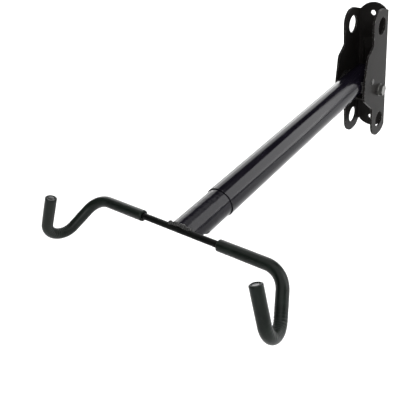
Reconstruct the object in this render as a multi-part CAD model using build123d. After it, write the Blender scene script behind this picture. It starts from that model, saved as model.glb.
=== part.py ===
from build123d import *
import os
from math import asin, cos, degrees, hypot, radians, sin, sqrt

# Folding wall rack that hangs a bicycle by its top tube.
# Millimetres, +Z up. The wall is the plane Y = 0, the arm reaches towards -Y and the hook rod
# lies along X. The origin is midway between the two wall screws, on the plate's back face.

# ---- wall bracket: one U of pressed sheet steel -------------------------------------------------
SHEET = 2.5                 # sheet thickness
CHEEK_GAP = 36.8            # inside width between the two cheeks
BEND_INSIDE = 1.5           # inside radius of the two bends
PLATE_HALF_HEIGHT = 88.5    # crown of the plate's domed ends
DOME_RADIUS = 22.0
SCREW_SPACING = 150.0       # two wall screws, one above the other
SCREW_HOLE_RADIUS = 3.5
EAR_DEPTH = 45.0            # how far the ears stand out from the wall
EAR_HOLE_Y = -22.0
EAR_HOLE_Z = 65.5
EAR_HOLE_RADIUS = 11.0
RIB_HALF_LENGTH = 42.0      # stiffening rib pressed into the wall plate
RIB_HALF_WIDTH = 12.5
RIB_SLOPE = 13.0            # length of the rib's sloping ends
RIB_HEIGHT = 3.0
RIB_SIDE = 4.0              # width of the rib's sloping sides

# ---- arm ----------------------------------------------------------------------------------------
ARM_RADIUS = 16.0
ARM_WALL = 1.0
ARM_ROOT_Y = -29.5
ARM_MOUTH_Y = -354.0
MOUTH_CHAMFER = 0.7

# ---- fold pivot, on the arm's axis ---------------------------------------------------------------
PIVOT_Y = -46.5
PIVOT_RADIUS = 4.0
PIVOT_PROUD = 0.8           # how far the peened ends stand proud of the cheeks
PIVOT_CLEARANCE = 0.06
BUSH_RADIUS = 6.0
THRUST_WASHER_RADIUS = 11.0

# ---- stop bolt that the folded-out arm bears on --------------------------------------------------
STOP_Y = -24.5
STOP_Z = -20.0
STOP_SPACER_RADIUS = 5.5
STOP_GAP = 0.15             # paint-thin gap between the spacer and the arm's stop toes
M8_RADIUS = 4.0
M8_HEAD_FLATS = 13.0
M8_HEAD_HEIGHT = 5.3
M8_NUT_HEIGHT = 6.8
M8_WASHER_RADIUS = 8.0
M8_WASHER_THICKNESS = 1.6

# ---- root channel: two side plates and a floor, welded round the arm's root ----------------------
CHANNEL_SHEET = 1.6
CHANNEL_FRONT_Y = -66.0
CHANNEL_TOP_Z = 8.0
CHANNEL_FLOOR_DEPTH = 24.0
BEAD_SPACING = 2.8
BEAD_RADIUS = 1.9

# ---- swivelling head: inner tube, rod and sleeves ------------------------------------------------
HEAD_TUBE_RADIUS = 14.94
HEAD_TUBE_WALL = 1.5
HEAD_TUBE_ROOT_Y = -292.0
ROD_RADIUS = 3.2
ROD_Y = -413.6
ROD_Z = 8.35
LIP_TO_ROD = 0.8            # the tube's upper lip stops this far short of the rod's centre line
LOWER_EDGE_Y = -387.0       # the tube's lower half is cut back square here
WELD_OVERLAP = 0.1          # how far the tube's saddle bites into the rod
SWIVEL_PIN_Y = -330.0
SWIVEL_PIN_RADIUS = 2.4
SWIVEL_HEAD_RADIUS = 4.4
SWIVEL_HEAD_HEIGHT = 1.4
SWIVEL_LIMIT = 20.0         # degrees each way
LUMP_SPACING = 2.7          # along the weld that joins the tube to the rod
LUMP_RADIUS = 2.1

# ---- hooks: mirror images about X = 0 ------------------------------------------------------------
SHOULDER_X = 109.9          # where the rod turns down and forward
LEG = Vector(30.8, -66.1, -44.4)
TIP = Vector(-24.1, 21.2, 71.9)
SHOULDER_RADIUS = 23.6
CRADLE_RADIUS = 16.0
SLEEVE_RADIUS = 5.6
SLEEVE_BORE = 3.12          # a touch under the rod, so the sleeve grips it
SLEEVE_START_X = 45.0
ROD_SHORT_OF_SLEEVE = 0.5   # the sleeve overhangs the rod's end

GAP_HALF = CHEEK_GAP / 2
CHEEK_OUT = GAP_HALF + SHEET


def outline(corners, plane):
    """A closed face on the plane from (u, v, corner radius) triples."""
    points = [plane.from_local_coords((u, v, 0)) for u, v, _ in corners]
    return make_face(FilletPolyline(*points, radius=[r for _, _, r in corners], close=True))


def rod_along_x(radius, x_from, x_to, y, z):
    """A round bar parallel to X."""
    length = x_to - x_from
    middle = (x_from + x_to) / 2
    return Pos(middle, y, z) * Rot(0, 90, 0) * Cylinder(radius, length)


def rod_along_y(radius, y_from, y_to):
    """A round bar on the arm's axis."""
    length = abs(y_to - y_from)
    middle = (y_from + y_to) / 2
    return Pos(0, middle, 0) * Rot(90, 0, 0) * Cylinder(radius, length)


def hexagon_along_x(flats, x_from, x_to, y, z):
    """A hexagonal prism parallel to X with its edges lightly turned down."""
    section = Plane(origin=(x_from, y, z), x_dir=(0, 1, 0), z_dir=(1, 0, 0))
    prism = extrude(section * RegularPolygon(flats / sqrt(3), 6), amount=x_to - x_from)
    turned = rod_along_x(flats / sqrt(3) - 0.25, x_from, x_to, y, z)
    return prism & turned


def tapered_block(half_width, half_length, height, side, slope):
    """A flat-topped hump on the plate: sides slope in by `side`, ends by `slope`."""
    foot = Plane.XZ * Rectangle(2 * half_width, 2 * half_length)
    crest = Plane.XZ.offset(height) * Rectangle(2 * (half_width - side), 2 * (half_length - slope))
    return loft([foot, crest])


def fused(lumps):
    """One solid from a chain of overlapping lumps."""
    chain = lumps[0]
    for lump in lumps[1:]:
        chain = chain + lump
    return chain


def cheek_profile():
    """The side view shared by both cheeks, in (Y, Z)."""
    return [
        (0.0, 79.5, 3.0),
        (-20.0, 87.0, 14.0),
        (-EAR_DEPTH, 87.0, 17.0),
        (-EAR_DEPTH, 46.0, 5.0),
        (-61.5, 36.5, 9.0),
        (-70.0, 4.0, 30.0),
        (-70.0, -18.0, 7.0),
        (-EAR_DEPTH, -40.0, 8.0),
        (-EAR_DEPTH, -88.0, 21.5),
        (0.0, -88.0, 17.0),
    ]


def wall_bracket():
    height = 2 * (PLATE_HALF_HEIGHT + 2)
    outside = Pos(0, -40, 0) * Box(2 * CHEEK_OUT, 80, height)
    outside = fillet(outside.edges().filter_by(Axis.Z).group_by(Axis.Y)[-1], BEND_INSIDE + SHEET)
    inside = Pos(0, -SHEET - 40, 0) * Box(CHEEK_GAP, 80, height)
    inside = fillet(inside.edges().filter_by(Axis.Z).group_by(Axis.Y)[-1], BEND_INSIDE)
    channel = outside - inside

    side_view = Plane(origin=(-CHEEK_OUT, 0, 0), x_dir=(0, 1, 0), z_dir=(1, 0, 0))
    cheek_shape = extrude(outline(cheek_profile(), side_view), amount=2 * CHEEK_OUT)
    between_bends = Pos(0, -40, 0) * Box(CHEEK_GAP - 2 * BEND_INSIDE, 100, height)
    cheeks = (channel & cheek_shape) - between_bends

    dome_centre = PLATE_HALF_HEIGHT - DOME_RADIUS
    front_view = Plane.XZ
    plate_face = front_view * Rectangle(CHEEK_GAP, 2 * dome_centre)
    for side in (1, -1):
        plate_face += front_view * Pos(0, side * dome_centre) * Circle(DOME_RADIUS)
    plate_shape = extrude(plate_face, amount=20)
    plate = channel & plate_shape & between_bends

    rib = tapered_block(RIB_HALF_WIDTH, RIB_HALF_LENGTH, RIB_HEIGHT, RIB_SIDE, RIB_SLOPE)
    bracket = cheeks + plate + Pos(0, -SHEET, 0) * rib - rib
    for side in (1, -1):
        screw_hole = Pos(0, 0, side * SCREW_SPACING / 2) * Rot(90, 0, 0)
        bracket -= screw_hole * Cylinder(SCREW_HOLE_RADIUS, 4 * SHEET)
        bracket -= rod_along_x(EAR_HOLE_RADIUS, -50, 50, EAR_HOLE_Y, side * EAR_HOLE_Z)
    bracket -= rod_along_x(PIVOT_RADIUS, -50, 50, PIVOT_Y, 0)
    bracket -= rod_along_x(M8_RADIUS, -50, 50, STOP_Y, STOP_Z)
    return bracket


def pivot_pin():
    """A plain pin through both cheeks, peened to low domes at its ends."""
    half = CHEEK_OUT + PIVOT_PROUD
    pin = rod_along_x(PIVOT_RADIUS, -half, half, PIVOT_Y, 0)
    rims = pin.edges().filter_by(GeomType.CIRCLE)
    return fillet(rims, PIVOT_PROUD * 0.9)


def pivot_bush():
    """A cross tube welded through the arm's root, in which the pin turns."""
    half = ARM_RADIUS
    body = rod_along_x(BUSH_RADIUS, -half, half, PIVOT_Y, 0)
    return body - rod_along_x(PIVOT_RADIUS + PIVOT_CLEARANCE, -50, 50, PIVOT_Y, 0)


def thrust_washers():
    """Two nylon washers that fill the play between the root channel and the cheeks."""
    inner = ARM_RADIUS + CHANNEL_SHEET
    washers = []
    for side in (1, -1):
        faces = sorted((side * inner, side * (GAP_HALF - 0.1)))
        disc = rod_along_x(THRUST_WASHER_RADIUS, *faces, PIVOT_Y, 0)
        washers.append(disc - rod_along_x(PIVOT_RADIUS + 0.2, *faces, PIVOT_Y, 0))
    return Compound(washers)


def stop_bolt():
    head_seat = CHEEK_OUT + M8_WASHER_THICKNESS
    thread_end = -(CHEEK_OUT + M8_WASHER_THICKNESS + M8_NUT_HEIGHT + 2.5)
    shank = rod_along_x(M8_RADIUS, thread_end, head_seat, STOP_Y, STOP_Z)
    end_rim = shank.edges().filter_by(GeomType.CIRCLE).sort_by(Axis.X)[0]
    shank = chamfer(end_rim, 0.8)
    head = hexagon_along_x(M8_HEAD_FLATS, head_seat, head_seat + M8_HEAD_HEIGHT, STOP_Y, STOP_Z)
    return shank + head


def stop_nut():
    seat = -(CHEEK_OUT + M8_WASHER_THICKNESS)
    nut = hexagon_along_x(M8_HEAD_FLATS, seat - M8_NUT_HEIGHT, seat, STOP_Y, STOP_Z)
    return nut - rod_along_x(M8_RADIUS, -50, 50, STOP_Y, STOP_Z)


def stop_washers():
    washers = []
    for side in (1, -1):
        faces = sorted((side * CHEEK_OUT, side * (CHEEK_OUT + M8_WASHER_THICKNESS)))
        disc = rod_along_x(M8_WASHER_RADIUS, *faces, STOP_Y, STOP_Z)
        washers.append(disc - rod_along_x(M8_RADIUS, *faces, STOP_Y, STOP_Z))
    return Compound(washers)


def stop_spacer():
    body = rod_along_x(STOP_SPACER_RADIUS, -GAP_HALF, GAP_HALF, STOP_Y, STOP_Z)
    return body - rod_along_x(M8_RADIUS, -50, 50, STOP_Y, STOP_Z)


def arm_tube():
    outside = rod_along_y(ARM_RADIUS, ARM_ROOT_Y, ARM_MOUTH_Y)
    bore = rod_along_y(ARM_RADIUS - ARM_WALL, ARM_ROOT_Y, ARM_MOUTH_Y)
    tube = outside - bore
    mouth_rim = tube.edges().filter_by(GeomType.CIRCLE).group_by(Axis.Y)[0].sort_by(SortBy.RADIUS)[0]
    tube = chamfer(mouth_rim, MOUTH_CHAMFER)
    tube -= rod_along_x(BUSH_RADIUS, -50, 50, PIVOT_Y, 0)
    pin_hole = Pos(0, SWIVEL_PIN_Y, -ARM_RADIUS) * Cylinder(SWIVEL_PIN_RADIUS, 8)
    return tube - pin_hole


def root_channel():
    """Side plates and floor round the arm's root. Its two toes bear on the stop spacer."""
    reach = hypot(STOP_Y - PIVOT_Y, STOP_Z)
    along = Vector(STOP_Y - PIVOT_Y, STOP_Z) / reach      # from the pivot towards the stop
    towards = Vector(-along.Y, along.X)                   # the way a falling arm drives its toes
    contact = Vector(STOP_Y, STOP_Z) - towards * (STOP_SPACER_RADIUS + STOP_GAP)
    heel = contact - along * 11
    toe = contact + along * 8
    profile = [
        (ARM_ROOT_Y - 1.0, CHANNEL_TOP_Z, 6.0),
        (CHANNEL_FRONT_Y, CHANNEL_TOP_Z, 6.0),
        (CHANNEL_FRONT_Y, -ARM_RADIUS - CHANNEL_SHEET, 2.0),
        (-44.0, -33.0, 10.0),
        (toe.X - 2.0, -33.5, 2.0),
        (toe.X, toe.Y, 1.0),
        (heel.X, heel.Y, 1.0),
        (ARM_ROOT_Y - 1.0, -9.0, 3.0),
    ]
    half = ARM_RADIUS + CHANNEL_SHEET
    side_view = Plane(origin=(-half, 0, 0), x_dir=(0, 1, 0), z_dir=(1, 0, 0))
    block = extrude(outline(profile, side_view), amount=2 * half)
    plates = block - Pos(0, -45, 0) * Box(2 * ARM_RADIUS, 60, 120)
    floor = Pos(0, CHANNEL_FRONT_Y + CHANNEL_FLOOR_DEPTH / 2, -ARM_RADIUS - CHANNEL_SHEET / 2)
    floor = floor * Box(2 * half, CHANNEL_FLOOR_DEPTH, CHANNEL_SHEET)
    channel = plates + (floor & block)
    return channel - rod_along_x(PIVOT_RADIUS + 0.3, -50, 50, PIVOT_Y, 0)


def root_welds():
    """Weld beads where the front edges of the side plates meet the arm tube."""
    beads = []
    for side in (1, -1):
        lumps = []
        for row in range(5):
            z = BEAD_SPACING * (row - 2)
            x = side * (sqrt(ARM_RADIUS ** 2 - z ** 2) + 0.3)
            lumps.append(Pos(x, CHANNEL_FRONT_Y - 0.6, z) * Sphere(BEAD_RADIUS))
        beads.append(fused(lumps))
    return Compound(beads)


def swivel_pin():
    """A rivet up through the arm's underside that keeps the head in and limits its turn."""
    head_seat = -ARM_RADIUS - 0.2
    shank_top = -(HEAD_TUBE_RADIUS - HEAD_TUBE_WALL) + 1.2
    shank = Pos(0, SWIVEL_PIN_Y, (head_seat + shank_top) / 2)
    shank = shank * Cylinder(SWIVEL_PIN_RADIUS, shank_top - head_seat)
    head = Pos(0, SWIVEL_PIN_Y, head_seat - SWIVEL_HEAD_HEIGHT / 2)
    head = head * Cylinder(SWIVEL_HEAD_RADIUS, SWIVEL_HEAD_HEIGHT)
    head = fillet(head.edges().filter_by(GeomType.CIRCLE).sort_by(Axis.Z)[0], 1.0)
    return shank + head


def head_profile():
    """Side view of the head tube in (Y, Z): its upper half runs on to the rod as a lip."""
    beyond = HEAD_TUBE_RADIUS + 5
    lip_y = ROD_Y + LIP_TO_ROD
    return [
        (HEAD_TUBE_ROOT_Y, beyond, 0),
        (lip_y, beyond, 0),
        (lip_y, ROD_Z - 1.5, 0),
        (LOWER_EDGE_Y - 15.5, -2.2, 8),
        (LOWER_EDGE_Y - 1.5, -4.0, 5),
        (LOWER_EDGE_Y, -beyond, 0),
        (HEAD_TUBE_ROOT_Y, -beyond, 0),
    ]


def head_tube():
    outside = rod_along_y(HEAD_TUBE_RADIUS, HEAD_TUBE_ROOT_Y, ROD_Y)
    bore = rod_along_y(HEAD_TUBE_RADIUS - HEAD_TUBE_WALL, HEAD_TUBE_ROOT_Y, ROD_Y)
    beside = 2 * HEAD_TUBE_RADIUS
    side_view = Plane(origin=(-beside, 0, 0), x_dir=(0, 1, 0), z_dir=(1, 0, 0))
    tube = (outside - bore) & extrude(outline(head_profile(), side_view), amount=2 * beside)
    tube -= rod_along_x(ROD_RADIUS - WELD_OVERLAP, -beside, beside, ROD_Y, ROD_Z)

    pin_angle = degrees(asin(SWIVEL_PIN_RADIUS / (HEAD_TUBE_RADIUS - HEAD_TUBE_WALL)))
    half_angle = SWIVEL_LIMIT + pin_angle + 1.0
    slot_width = 2 * SWIVEL_PIN_RADIUS + 0.6
    reach = 2 * HEAD_TUBE_RADIUS
    sector = [
        (0, 0),
        (-reach * sin(radians(half_angle)), -reach * cos(radians(half_angle))),
        (0, -reach * 1.3),
        (reach * sin(radians(half_angle)), -reach * cos(radians(half_angle))),
    ]
    slot_plane = Plane(origin=(0, SWIVEL_PIN_Y + slot_width / 2, 0), x_dir=(1, 0, 0), z_dir=(0, -1, 0))
    slot = extrude(slot_plane * make_face(Polyline(*sector, close=True)), amount=slot_width)
    return tube - slot


def hook_points(side, sleeve):
    """Corner points of one hook's centre line, from the middle of the rack to the tip."""
    start_x = SLEEVE_START_X if sleeve else 0
    leg = Vector(side * LEG.X, LEG.Y, LEG.Z)
    tip = Vector(side * TIP.X, TIP.Y, TIP.Z)
    start = Vector(side * start_x, ROD_Y, ROD_Z)
    shoulder = Vector(side * SHOULDER_X, ROD_Y, ROD_Z)
    cradle = shoulder + leg
    shortened = tip.length - (0 if sleeve else ROD_SHORT_OF_SLEEVE)
    return [start, shoulder, cradle, cradle + tip.normalized() * shortened]


def hook_rod():
    left = hook_points(-1, sleeve=False)
    right = hook_points(1, sleeve=False)
    corners = left[:0:-1] + right[1:]
    path = FilletPolyline(*corners, radius=[CRADLE_RADIUS, SHOULDER_RADIUS, SHOULDER_RADIUS, CRADLE_RADIUS])
    section = Plane(origin=path @ 0, z_dir=path % 0) * Circle(ROD_RADIUS)
    return sweep(section, path=path)


def sleeve(side):
    corners = hook_points(side, sleeve=True)
    path = FilletPolyline(*corners, radius=[SHOULDER_RADIUS, CRADLE_RADIUS])
    across = Plane(origin=path @ 0, z_dir=path % 0)
    tube = sweep(across * Circle(SLEEVE_RADIUS), path=path)
    return tube - sweep(across * Circle(SLEEVE_BORE), path=path)


def rod_weld():
    """Weld lumps that join the tube's lip to the rod, with one more behind the rod on each side."""
    lumps = []
    for step in range(-4, 5):
        x = LUMP_SPACING * step
        lip_z = sqrt((HEAD_TUBE_RADIUS - 1) ** 2 - x ** 2)
        z = max(ROD_Z + 3.4, min(lip_z, ROD_Z + ROD_RADIUS + 1.6))
        size = LUMP_RADIUS + 0.25 * ((step * 7) % 3 - 1)
        lumps.append((x, 1.2, z - ROD_Z, size))
    for side in (1, -1):
        lumps.append((side * 12.0, 2.6, 1.4, 2.0))
    along_rod = Rot(0, 90, 0)
    return fused([Pos(x, ROD_Y + y, ROD_Z + z) * along_rod * Sphere(r) for x, y, z, r in lumps])


NODES = {
    "wall_bracket": wall_bracket,
    "pivot_pin": pivot_pin,
    "stop_bolt": stop_bolt,
    "stop_nut": stop_nut,
    "stop_washers": stop_washers,
    "stop_spacer": stop_spacer,
    "arm_tube": arm_tube,
    "root_channel": root_channel,
    "root_welds": root_welds,
    "pivot_bush": pivot_bush,
    "thrust_washers": thrust_washers,
    "swivel_pin": swivel_pin,
    "head_tube": head_tube,
    "hook_rod": hook_rod,
    "rod_weld": rod_weld,
    "sleeve_left": lambda: sleeve(-1),
    "sleeve_right": lambda: sleeve(1),
}

os.makedirs("parts", exist_ok=True)
for name, make in NODES.items():
    export_step(make(), f"parts/{name}.step")
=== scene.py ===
from math import cos, floor, pi, radians, sin

import bmesh
import bpy
from mathutils import Matrix, Vector, noise


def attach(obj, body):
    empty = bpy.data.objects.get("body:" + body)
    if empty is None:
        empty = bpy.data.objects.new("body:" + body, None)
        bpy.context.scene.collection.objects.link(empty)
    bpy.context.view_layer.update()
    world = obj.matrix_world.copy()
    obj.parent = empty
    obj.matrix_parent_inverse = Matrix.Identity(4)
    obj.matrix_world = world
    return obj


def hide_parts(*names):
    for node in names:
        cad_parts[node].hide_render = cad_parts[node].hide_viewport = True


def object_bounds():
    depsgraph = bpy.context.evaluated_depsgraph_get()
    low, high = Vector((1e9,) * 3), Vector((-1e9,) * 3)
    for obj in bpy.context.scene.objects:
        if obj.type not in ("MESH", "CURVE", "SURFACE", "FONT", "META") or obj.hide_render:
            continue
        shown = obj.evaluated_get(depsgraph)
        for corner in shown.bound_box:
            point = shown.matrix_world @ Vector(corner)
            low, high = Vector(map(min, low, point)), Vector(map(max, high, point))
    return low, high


# A folding wall rack for a bicycle: painted steel bracket, arm and hook rod, with rubber sleeves.
# Metres, +Z up, wall at Y = 0, arm towards -Y, hook rod along X.

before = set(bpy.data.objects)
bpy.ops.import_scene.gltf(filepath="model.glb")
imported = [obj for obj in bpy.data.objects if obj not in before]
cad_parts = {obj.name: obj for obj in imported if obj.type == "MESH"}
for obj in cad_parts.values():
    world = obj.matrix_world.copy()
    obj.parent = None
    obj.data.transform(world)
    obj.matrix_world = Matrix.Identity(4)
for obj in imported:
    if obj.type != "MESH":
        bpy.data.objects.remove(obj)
cad_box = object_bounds()

# ---- hooks, as in the part ----------------------------------------------------------------------
ROD_Y = -0.4136
ROD_Z = 0.00835
ROD_RADIUS = 0.0032
SHOULDER_X = 0.1099
LEG = Vector((0.0308, -0.0661, -0.0444))
TIP = Vector((-0.0241, 0.0212, 0.0719))
SHOULDER_RADIUS = 0.0236
CRADLE_RADIUS = 0.016
SLEEVE_RADIUS = 0.0056
SLEEVE_BORE = 0.00312
SLEEVE_START_X = 0.045
ROD_SHORT_OF_SLEEVE = 0.0005

# ---- sleeve detail ------------------------------------------------------------------------------
RING_SPACING = 0.0006
RING_SIDES = 56
RIM_ROUND = 0.0009
BORE_DEPTH = 0.006              # how deep each open end is modelled
BORE_PLAY = 0.0001              # how much wider the visible bore is than the part's
WAVINESS = 0.00007
WAVES = 55                      # lumps per metre
RIPPLES = 400                   # smaller lumps per metre
RIPPLE_SHARE = 0.4              # how deep the ripples are, beside the waves

# ---- creases where a sleeve bends through the cradle ---------------------------------------------
CRADLE_ARC = 2                  # the cradle is the second bend of the path
WRINKLE_DEPTH = 0.0006
WRINKLE_SPACING = 0.0028
WRINKLE_WANDER = 1.3            # radians by which the creases stray from an even spacing
WANDER_PITCH = 160              # changes of stray per metre
WRINKLE_INSIDE = 0.75           # share of the depth that faces into the bend
WRINKLE_ALL_ROUND = 0.30        # share that goes all the way round
WRINKLE_LEAD_IN = 0.012
WRINKLE_LEAD_OUT = 0.010
WRINKLE_OVERLAP = 0.002         # how far into the bend they reach their full depth

# ---- the rod's visible end ----------------------------------------------------------------------
ROD_END_SIDES = 40
ROD_END_INSET = 0.00012
ROD_END_DOME = ((1.0, 0.0), (0.93, 0.00022), (0.8, 0.00028), (0.5, 0.00030), (0.2, 0.00031))


# ================================= shapes ========================================================
def mirrored(vector, side):
    """The vector on the right hook, or its mirror image on the left one."""
    return Vector((side * vector.x, vector.y, vector.z))


def straight(start, end, spacing):
    """Points from start up to but not including end, each marked as lying on a straight run."""
    steps = max(1, floor((end - start).length / spacing))
    return [(start.lerp(end, step / steps), 0) for step in range(steps)]


def rounded_path(corners, radii, spacing):
    """Points along straight runs joined by tangent arcs, each with its arc's number, or 0 on a run."""
    points = []
    run_start = corners[0]
    for number, (corner, radius) in enumerate(zip(corners[1:-1], radii), start=1):
        into = (corner - corners[number - 1]).normalized()
        out = (corners[number + 1] - corner).normalized()
        turn = into.angle(out)
        inward = (out - into).normalized()
        centre = corner + inward * (radius / cos(turn / 2))
        setback = radius * sin(turn / 2) / cos(turn / 2)
        arc_start = corner - into * setback
        points += straight(run_start, arc_start, spacing)
        axis = into.cross(out)
        steps = max(2, floor(radius * turn / spacing))
        for step in range(steps):
            turned = Matrix.Rotation(turn * step / steps, 3, axis) @ (arc_start - centre)
            points.append((centre + turned, number))
        run_start = corner + out * setback
    points += straight(run_start, corners[-1], spacing)
    points.append((corners[-1], 0))
    return points


def travelled(points):
    """The distance of each point from the first, along the line."""
    total = 0.0
    distances = [0.0]
    for (here, _), (ahead, _) in zip(points, points[1:]):
        total += (ahead - here).length
        distances.append(total)
    return distances


def hook_corners(side):
    """Corner points of a sleeve's centre line."""
    shoulder = Vector((side * SHOULDER_X, ROD_Y, ROD_Z))
    cradle = shoulder + mirrored(LEG, side)
    start = Vector((side * SLEEVE_START_X, ROD_Y, ROD_Z))
    return [start, shoulder, cradle, cradle + mirrored(TIP, side)]


def smooth_step(value, low, high):
    """0 below low, 1 above high and a smooth rise between them."""
    share = min(1.0, max(0.0, (value - low) / (high - low)))
    return share * share * (3 - 2 * share)


def spokes(across, beside, sides):
    """Unit vectors all the way round, starting at across and turning towards beside."""
    turns = [2 * pi * number / sides for number in range(sides)]
    return [across * cos(turn) + beside * sin(turn) for turn in turns]


def bridge(work, rings):
    """Faces between each ring of vertices and the next."""
    for near, far in zip(rings, rings[1:]):
        for index in range(len(near)):
            after = (index + 1) % len(near)
            work.faces.new((near[index], near[after], far[after], far[index]))


def linked_mesh(name, work, material):
    """A smooth-shaded object made of a bmesh, with its faces turned outwards."""
    bmesh.ops.recalc_face_normals(work, faces=work.faces)
    mesh = bpy.data.meshes.new(name)
    work.to_mesh(mesh)
    work.free()
    for face in mesh.polygons:
        face.use_smooth = True
    mesh.materials.append(material)
    made = bpy.data.objects.new(name, mesh)
    bpy.context.collection.objects.link(made)
    return made


def riding_piece(name, work, material, body):
    """An object made of a bmesh that moves with a body."""
    piece = linked_mesh(name, work, material)
    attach(piece, body)
    return piece


def rim_fall(to_rim):
    """How far the rounded rim falls below the sleeve's surface at this distance from the end."""
    if to_rim >= RIM_ROUND:
        return 0.0
    return RIM_ROUND - (RIM_ROUND ** 2 - (RIM_ROUND - to_rim) ** 2) ** 0.5


def creasing(distance, cradle_start, cradle_end):
    """1 along the cradle, fading to 0 on the leg before it and on the tip after it."""
    entering = smooth_step(distance, cradle_start - WRINKLE_LEAD_IN, cradle_start + WRINKLE_OVERLAP)
    leaving = 1 - smooth_step(distance, cradle_end - WRINKLE_OVERLAP, cradle_end + WRINKLE_LEAD_OUT)
    return entering * leaving


def crease_depth(spot, distance, facing, creased):
    """Depth of the creases at a spot. Facing is 1 inside the bend, and creased is 1 in the cradle."""
    facing_in = max(0.0, facing * WRINKLE_INSIDE + WRINKLE_ALL_ROUND)
    wander = noise.noise(spot * WANDER_PITCH) * WRINKLE_WANDER
    ridge = 0.5 + 0.5 * sin(2 * pi * distance / WRINKLE_SPACING + wander)
    return WRINKLE_DEPTH * creased * facing_in * ridge ** 3


def unevenness(spot):
    """How far the moulded surface stands above or below true at a spot."""
    waves = WAVINESS * noise.noise(spot * WAVES)
    ripples = WAVINESS * RIPPLE_SHARE * noise.noise(spot * RIPPLES)
    return waves + ripples


def sleeve_piece(side, material):
    """One rubber sleeve: an open tube with rounded rims, creased where it bends into the cradle."""
    name = "sleeve_left" if side < 0 else "sleeve_right"
    corners = hook_corners(side)
    points = rounded_path(corners, [SHOULDER_RADIUS, CRADLE_RADIUS], RING_SPACING)
    places = [place for place, _ in points]
    distances = travelled(points)
    in_cradle = [distance for distance, (_, arc) in zip(distances, points) if arc == CRADLE_ARC]
    back_up_leg = (corners[1] - corners[2]).normalized()
    up_tip = (corners[3] - corners[2]).normalized()
    inner_side = (back_up_leg + up_tip).normalized()

    across = Vector((0, 0, 1))
    work = bmesh.new()
    outside = []
    bores = {}
    for index, (place, distance) in enumerate(zip(places, distances)):
        ahead = places[min(index + 1, len(places) - 1)]
        behind = places[max(index - 1, 0)]
        tangent = (ahead - behind).normalized()
        across = (across - tangent * across.dot(tangent)).normalized()
        outwards = spokes(across, tangent.cross(across), RING_SIDES)
        to_rim = min(distance, distances[-1] - distance)
        rim = rim_fall(to_rim)
        creased = creasing(distance, in_cradle[0], in_cradle[-1])
        ring = []
        for outward in outwards:
            spot = place + outward * SLEEVE_RADIUS
            crease = crease_depth(spot, distance, outward.dot(inner_side), creased)
            radius = SLEEVE_RADIUS - rim - crease + unevenness(spot) - WAVINESS
            ring.append(work.verts.new(place + outward * radius))
        outside.append(ring)
        if to_rim < BORE_DEPTH:
            bore_rim = max(0.0, RIM_ROUND / 2 - to_rim)
            bore = SLEEVE_BORE + bore_rim + BORE_PLAY
            bores[index] = [work.verts.new(place + outward * bore) for outward in outwards]
    first_bore = [bores[index] for index in sorted(bores) if index < len(places) / 2]
    last_bore = [bores[index] for index in sorted(bores) if index > len(places) / 2]
    bridge(work, first_bore[::-1] + outside + last_bore[::-1])
    piece = riding_piece(name + "_rubber", work, material, "head")
    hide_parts(name)


def rod_end_piece(side, material):
    """The rod's painted end, slightly domed and all but flush with the end of its sleeve."""
    corners = hook_corners(side)
    along = (corners[3] - corners[2]).normalized()
    centre = corners[3] - along * ROD_SHORT_OF_SLEEVE
    across = along.orthogonal().normalized()
    outwards = spokes(across, along.cross(across), ROD_END_SIDES)
    work = bmesh.new()
    rings = []
    for share, rise in ROD_END_DOME:
        middle = centre + along * rise
        radius = (ROD_RADIUS - ROD_END_INSET) * share
        rings.append([work.verts.new(middle + outward * radius) for outward in outwards])
    bridge(work, rings)
    work.faces.new(rings[-1])
    name = "rod_end_left" if side < 0 else "rod_end_right"
    riding_piece(name, work, material, "head")


# ================================= materials =====================================================
DUST = (0.06, 0.057, 0.053)
# Bare steel where edges are chipped, made pale enough to also be a painted highlight along the sheet
# edges.
EDGE_CHIP_AND_GLINT_COLOUR = (0.34, 0.335, 0.33)
RUBBED_STEEL = (0.45, 0.45, 0.43)
GRIME = (0.09, 0.075, 0.06)
SCUFFS_PALER = 1.9              # how many times paler a scuff is than the rubber round it
EDGE_CHIP_AND_GLINT_REACH = 0.0006             # how far chips, and the painted highlight along edges, reach from a painted edge
RUB_REACH = 0.0004              # how far a bare metal edge is rubbed bright
PAINTED_EDGE_RADIUS = 0.0005
SAG_HEIGHT = 0.0006
PEEL_HEIGHT = 0.0003
METAL_GRAIN_HEIGHT = 0.00012
RUBBER_GRAIN_HEIGHT = 0.00008
PORE_HEIGHT = 0.00025
FLAT_COSINE = 0.985             # between true and rounded normals where a face is still flat
EDGE_COSINE = 0.86              # and where it is all edge
BEVEL_SAMPLES = 6
COLOUR_INPUTS = (6, 7)          # the Mix node's two colour inputs
COLOUR_OUTPUT = 2


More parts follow.
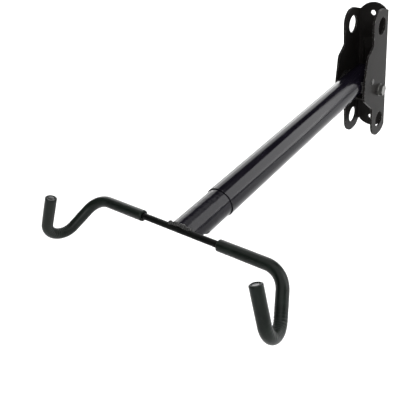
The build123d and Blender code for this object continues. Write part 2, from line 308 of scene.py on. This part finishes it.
class Finish:
    """A material with its node tree, and short ways to add to it."""

    def __init__(self, name):
        self.material = bpy.data.materials.new(name)
        self.material.use_nodes = True
        self.tree = self.material.node_tree
        self.shader = self.tree.nodes["Principled BSDF"]
        self.place = self.tree.nodes.new("ShaderNodeTexCoord").outputs["Object"]

    def link(self, source, target):
        self.tree.links.new(source, target)

    def stretched(self, scale):
        """The object's own coordinates, scaled along each axis."""
        mapping = self.tree.nodes.new("ShaderNodeMapping")
        mapping.inputs["Scale"].default_value = scale
        self.link(self.place, mapping.inputs["Vector"])
        return mapping.outputs["Vector"]

    def noise(self, scale, detail=2.0, rough=0.5, distortion=0.0, along=None):
        """Noise from 0 to 1, with scale in cycles per metre."""
        node = self.tree.nodes.new("ShaderNodeTexNoise")
        node.inputs["Scale"].default_value = scale
        node.inputs["Detail"].default_value = detail
        node.inputs["Roughness"].default_value = rough
        node.inputs["Distortion"].default_value = distortion
        self.link(along or self.place, node.inputs["Vector"])
        return node.outputs["Fac"]

    def between(self, value, from_low, from_high, to_low, to_high):
        """The value, taken from one range to another and held inside it."""
        node = self.tree.nodes.new("ShaderNodeMapRange")
        node.interpolation_type = "SMOOTHSTEP"
        for socket, number in zip(node.inputs[1:5], (from_low, from_high, to_low, to_high)):
            socket.default_value = number
        self.link(value, node.inputs["Value"])
        return node.outputs["Result"]

    def math(self, operation, first, second):
        """Two values put together and held from 0 to 1. Each is a number or a node's output."""
        node = self.tree.nodes.new("ShaderNodeMath")
        node.operation = operation
        node.use_clamp = True
        for socket, value in zip(node.inputs, (first, second)):
            if isinstance(value, float):
                socket.default_value = value
            else:
                self.link(value, socket)
        return node.outputs["Value"]

    def blend(self, share, low, high):
        """A colour from low to high by share. Each end is a colour or another node's output."""
        node = self.tree.nodes.new("ShaderNodeMix")
        node.data_type = "RGBA"
        self.link(share, node.inputs["Factor"])
        for number, colour in zip(COLOUR_INPUTS, (low, high)):
            if isinstance(colour, tuple):
                node.inputs[number].default_value = (*colour, 1)
            else:
                self.link(colour, node.inputs[number])
        return node.outputs[COLOUR_OUTPUT]

    def bump(self, height, distance, strength, under=None):
        """The surface's normal, or the one under it, tilted by a height field."""
        node = self.tree.nodes.new("ShaderNodeBump")
        node.inputs["Distance"].default_value = distance
        node.inputs["Strength"].default_value = strength
        self.link(height, node.inputs["Height"])
        if under:
            self.link(under, node.inputs["Normal"])
        return node.outputs["Normal"]

    def rounded(self, radius):
        """The surface's normal with its sharp edges rounded off."""
        bevel = self.tree.nodes.new("ShaderNodeBevel")
        bevel.samples = BEVEL_SAMPLES
        bevel.inputs["Radius"].default_value = radius
        return bevel.outputs["Normal"]

    def edges(self, radius):
        """1 on sharp outer and inner edges and 0 on faces, where rounding leaves the normal alone."""
        true = self.tree.nodes.new("ShaderNodeNewGeometry")
        dot = self.tree.nodes.new("ShaderNodeVectorMath")
        dot.operation = "DOT_PRODUCT"
        self.link(self.rounded(radius), dot.inputs[0])
        self.link(true.outputs["Normal"], dot.inputs[1])
        return self.between(dot.outputs["Value"], FLAT_COSINE, EDGE_COSINE, 0.0, 1.0)

    def wear(self, colour=None, rough=None, normal=None, metal=None):
        """Puts the outputs that are given into the shader."""
        worn = {"Base Color": colour, "Roughness": rough, "Normal": normal, "Metallic": metal}
        for name, source in worn.items():
            if source:
                self.link(source, self.shader.inputs[name])


def painted(name, dark, light, gloss, sheen, peel, edge_chips_and_glint, sag=0.02):
    """Baked black enamel on steel: cloudy gloss, sags, orange peel, rub marks, dust, and edges chipped
    to pale steel that are also a painted highlight.
    """
    finish = Finish(name)
    clouds = finish.noise(28, detail=4, rough=0.6)
    rubs = finish.noise(1.0, detail=3, rough=0.7, along=finish.stretched((1500, 45, 1500)))
    rub_lines = finish.between(rubs, 0.60, 0.74, 0.0, 1.0)
    specks = finish.between(finish.noise(1900, detail=1), 0.72, 0.82, 0.0, 1.0)
    dusty = finish.math("MULTIPLY", specks, finish.between(clouds, 0.45, 0.7, 0.0, 0.3))
    ragged = finish.between(finish.noise(420, detail=5, rough=0.7), 0.46, 0.62, 0.0, edge_chips_and_glint)
    # Edge mask: chipped paint, and also a painted highlight where the sheet edges would catch the
    # light.
    worn = finish.math("MULTIPLY", finish.edges(EDGE_CHIP_AND_GLINT_REACH), ragged)
    body = finish.blend(finish.between(clouds, 0.3, 0.7, 0.0, 1.0), dark, light)
    body = finish.blend(dusty, body, DUST)
    body = finish.blend(worn, body, EDGE_CHIP_AND_GLINT_COLOUR)
    rough = finish.between(clouds, 0.3, 0.7, gloss, gloss + 0.06)
    rough = finish.math("ADD", rough, finish.math("MULTIPLY", rub_lines, 0.05))
    rough = finish.math("ADD", rough, finish.math("MULTIPLY", dusty, 0.3))
    sags = finish.noise(75, detail=3, rough=0.6)
    sagging = finish.bump(sags, SAG_HEIGHT, sag, under=finish.rounded(PAINTED_EDGE_RADIUS))
    orange_peel = finish.bump(finish.noise(650, detail=2), PEEL_HEIGHT, peel, under=sagging)
    finish.wear(colour=body, rough=rough, metal=finish.math("MULTIPLY", worn, 0.8), normal=orange_peel)
    finish.shader.inputs["Specular IOR Level"].default_value = sheen
    return finish


def bare_metal(name, dark, light, rough_low, rough_high, grain_scale, grain):
    """Plated or cut steel: mottled tone, fine grain, grimy patches and edges rubbed bright."""
    finish = Finish(name)
    mottle = finish.noise(260, detail=5, rough=0.65, distortion=0.6)
    cut = finish.noise(1.0, detail=3, along=finish.stretched((grain_scale, grain_scale, grain_scale)))
    stain = finish.between(finish.noise(90, detail=3), 0.5, 0.72, 0.0, 0.4)
    tone = finish.blend(finish.between(mottle, 0.3, 0.7, 0.0, 1.0), dark, light)
    tone = finish.blend(stain, tone, GRIME)
    tone = finish.blend(finish.math("MULTIPLY", finish.edges(RUB_REACH), 0.35), tone, RUBBED_STEEL)
    finish.wear(
        colour=tone,
        rough=finish.between(mottle, 0.3, 0.75, rough_low, rough_high),
        normal=finish.bump(cut, METAL_GRAIN_HEIGHT, grain),
    )
    finish.shader.inputs["Metallic"].default_value = 1.0
    return finish


def moulded(name, dark, light, rough_low, rough_high, sheen, grain, lump):
    """Rubber or nylon: fine grain over slow lumps, scuffed paler and rougher in patches."""
    finish = Finish(name)
    slow = finish.noise(70, detail=3, rough=0.55)
    patches = finish.noise(240, detail=5, rough=0.7, distortion=0.8)
    scuffs = finish.between(patches, 0.56, 0.70, 0.0, 0.6)
    fine = finish.noise(2600, detail=2)
    pores = finish.noise(900, detail=3, rough=0.6)
    tone = finish.blend(finish.between(slow, 0.3, 0.7, 0.0, 1.0), dark, light)
    tone = finish.blend(scuffs, tone, tuple(channel * SCUFFS_PALER for channel in light))
    rough = finish.between(slow, 0.3, 0.7, rough_low, rough_high)
    rough = finish.math("ADD", rough, finish.math("MULTIPLY", scuffs, 0.10))
    grained = finish.bump(fine, RUBBER_GRAIN_HEIGHT, grain)
    lumpy = finish.bump(pores, PORE_HEIGHT, lump, under=grained)
    finish.wear(colour=tone, rough=rough, normal=lumpy)
    finish.shader.inputs["Specular IOR Level"].default_value = sheen
    return finish


def dress(nodes, finish):
    """Gives each of the CAD nodes the finish in every one of its material slots."""
    for name in nodes:
        for material_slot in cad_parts[name].material_slots:
            material_slot.link = "OBJECT"
            material_slot.material = finish.material


TUBE_BLACKS = {"dark": (0.0026, 0.0021, 0.0042), "light": (0.0044, 0.0037, 0.0066)}

plate_paint = painted(
    "gloss_black_plate", dark=(0.0070, 0.0064, 0.0060), light=(0.0110, 0.0101, 0.0095),
    gloss=0.32, sheen=0.035, peel=0.12, edge_chips_and_glint=0.9,
)
tube_paint = painted("gloss_black_tube", **TUBE_BLACKS, gloss=0.11, sheen=0.17, peel=0.03, edge_chips_and_glint=0.5)
head_paint = painted(
    "gloss_black_head", **TUBE_BLACKS, gloss=0.12, sheen=0.17, peel=0.05, edge_chips_and_glint=0.6, sag=0.80
)
rod_paint = painted(
    "black_rod", dark=(0.0022, 0.0024, 0.0022), light=(0.0038, 0.0041, 0.0038),
    gloss=0.34, sheen=0.05, peel=0.20, edge_chips_and_glint=0.5,
)
end_paint = painted(
    "black_rod_end", dark=(0.0024, 0.0026, 0.0024), light=(0.0042, 0.0045, 0.0042),
    gloss=0.12, sheen=0.60, peel=0.10, edge_chips_and_glint=0.3,
)
weld_paint = painted(
    "painted_weld", dark=(0.006, 0.006, 0.0058), light=(0.014, 0.0136, 0.013),
    gloss=0.34, sheen=0.30, peel=0.9, edge_chips_and_glint=0.8,
)
pin_steel = bare_metal(
    "dark_steel", dark=(0.030, 0.030, 0.029), light=(0.065, 0.064, 0.061),
    rough_low=0.30, rough_high=0.46, grain_scale=900, grain=0.3,
)
zinc = bare_metal(
    "zinc_fasteners", dark=(0.10, 0.10, 0.097), light=(0.19, 0.19, 0.18),
    rough_low=0.28, rough_high=0.42, grain_scale=700, grain=0.35,
)
nylon = moulded(
    "black_nylon", dark=(0.008, 0.008, 0.008), light=(0.014, 0.014, 0.0135),
    rough_low=0.42, rough_high=0.56, sheen=0.35, grain=0.25, lump=0.15,
)
rubber = moulded(
    "sleeve_rubber", dark=(0.0013, 0.0030, 0.0018), light=(0.0030, 0.0056, 0.0039),
    rough_low=0.32, rough_high=0.40, sheen=0.16, grain=0.30, lump=0.22,
)

dress(["wall_bracket", "root_channel"], plate_paint)
dress(["arm_tube"], tube_paint)
dress(["head_tube"], head_paint)
dress(["hook_rod"], rod_paint)
dress(["root_welds", "rod_weld"], weld_paint)
dress(["pivot_pin", "pivot_bush", "stop_spacer", "swivel_pin"], pin_steel)
dress(["stop_bolt", "stop_nut", "stop_washers"], zinc)
dress(["thrust_washers"], nylon)

for side in (-1, 1):
    sleeve_piece(side, rubber.material)
    rod_end_piece(side, end_paint.material)


# ================================= studio ========================================================
FLOOR_BELOW_RACK = 0.55
FLOOR_Z = cad_box[0].z - FLOOR_BELOW_RACK
STAGE_PROFILE = ((0.05, 0.0), (3.0, 0.0), (6.0, 0.0), (7.2, 0.2), (7.9, 0.9), (8.1, 2.6))
STAGE_SIDES = 96
STAGE_TONES = ((0.92, 0.92, 0.92), (0.96, 0.96, 0.96))
PANEL_DISTANCE = 6.0
OVERHEAD_SPREAD = radians(76)
WORLD_COLOUR = (0.93, 0.94, 1.0, 1)


def pale_stage():
    """A round pale floor whose rim curves up into a low pale wall all the way round."""
    finish = Finish("studio_floor")
    finish.wear(colour=finish.blend(finish.noise(1.3, detail=3), *STAGE_TONES))
    finish.shader.inputs["Roughness"].default_value = 0.9
    finish.shader.inputs["Specular IOR Level"].default_value = 0.0
    outwards = spokes(Vector((1, 0, 0)), Vector((0, 1, 0)), STAGE_SIDES)
    work = bmesh.new()
    rings = []
    for radius, height in STAGE_PROFILE:
        middle = Vector((0, 0, FLOOR_Z + height))
        rings.append([work.verts.new(middle + outward * radius) for outward in outwards])
    bridge(work, rings)
    work.faces.new(rings[0])
    stage = linked_mesh("studio_floor", work, finish.material)


def soft_panel(name, direction, along, width, height, radiance):
    """A soft flat light well away from the rack, turned to it, with its width along a given way."""
    middle = (cad_box[0] + cad_box[1]) / 2
    outward = Vector(direction).normalized()
    wide = (Vector(along) - outward * outward.dot(Vector(along))).normalized()
    data = bpy.data.lights.new(name, "AREA")
    data.shape = "RECTANGLE"
    data.size = width
    data.size_y = height
    data.energy = radiance * pi * width * height
    lamp = bpy.data.objects.new(name, data)
    turned = Matrix((wide, outward.cross(wide), outward)).transposed().to_4x4()
    lamp.matrix_world = Matrix.Translation(middle + outward * PANEL_DISTANCE) @ turned
    lamp.visible_camera = False
    bpy.context.collection.objects.link(lamp)


def soft_overhead(strength):
    """An even wash from straight above, as from a broad soft ceiling."""
    data = bpy.data.lights.new("overhead", "SUN")
    data.energy = strength
    data.angle = OVERHEAD_SPREAD
    bpy.context.collection.objects.link(bpy.data.objects.new("overhead", data))


def dim_world(strength):
    """Faint light from everywhere that the stage leaves open."""
    world = bpy.data.worlds.new("studio_world")
    world.use_nodes = True
    background = world.node_tree.nodes["Background"]
    background.inputs["Color"].default_value = WORLD_COLOUR
    background.inputs["Strength"].default_value = strength
    bpy.context.scene.world = world


def photo_camera():
    """The camera stands to the right of the arm, above it and in front of the hooks."""
    place = (0.2860, -0.6654, 0.2978)
    azimuth = radians(42.6)
    elevation = radians(34.57)
    roll = radians(-9.54)
    forward = Vector((-sin(azimuth) * cos(elevation), cos(azimuth) * cos(elevation), -sin(elevation)))
    level = Vector((cos(azimuth), sin(azimuth), 0))
    upward = level.cross(forward)
    right = level * cos(roll) + upward * sin(roll)
    up = upward * cos(roll) - level * sin(roll)
    data = bpy.data.cameras.new("camera")
    data.sensor_width = 36
    data.lens = 47.5
    data.shift_x = -0.0469
    data.shift_y = -0.0077
    camera = bpy.data.objects.new("camera", data)
    turned = Matrix((right, up, -forward)).transposed().to_4x4()
    camera.matrix_world = Matrix.Translation(place) @ turned
    bpy.context.collection.objects.link(camera)
    bpy.context.scene.camera = camera


pale_stage()
soft_panel(
    "left_panel", direction=(-0.660, 0.640, 0.290), along=(0.70, 0.71, 0.0),
    width=5.2, height=3.9, radiance=3.2,
)
soft_panel(
    "right_panel", direction=(0.563, 0.670, 0.483), along=(0.683, 0.0, -0.730),
    width=5.6, height=3.2, radiance=5.6,
)
soft_panel(
    "front_panel", direction=(0.45, -0.75, 0.55), along=(1.0, 0.6, 0.0),
    width=2.6, height=2.6, radiance=9.0,
)
soft_overhead(2.1)
dim_world(0.06)
photo_camera()
bpy.context.scene.view_settings.view_transform = "Standard"
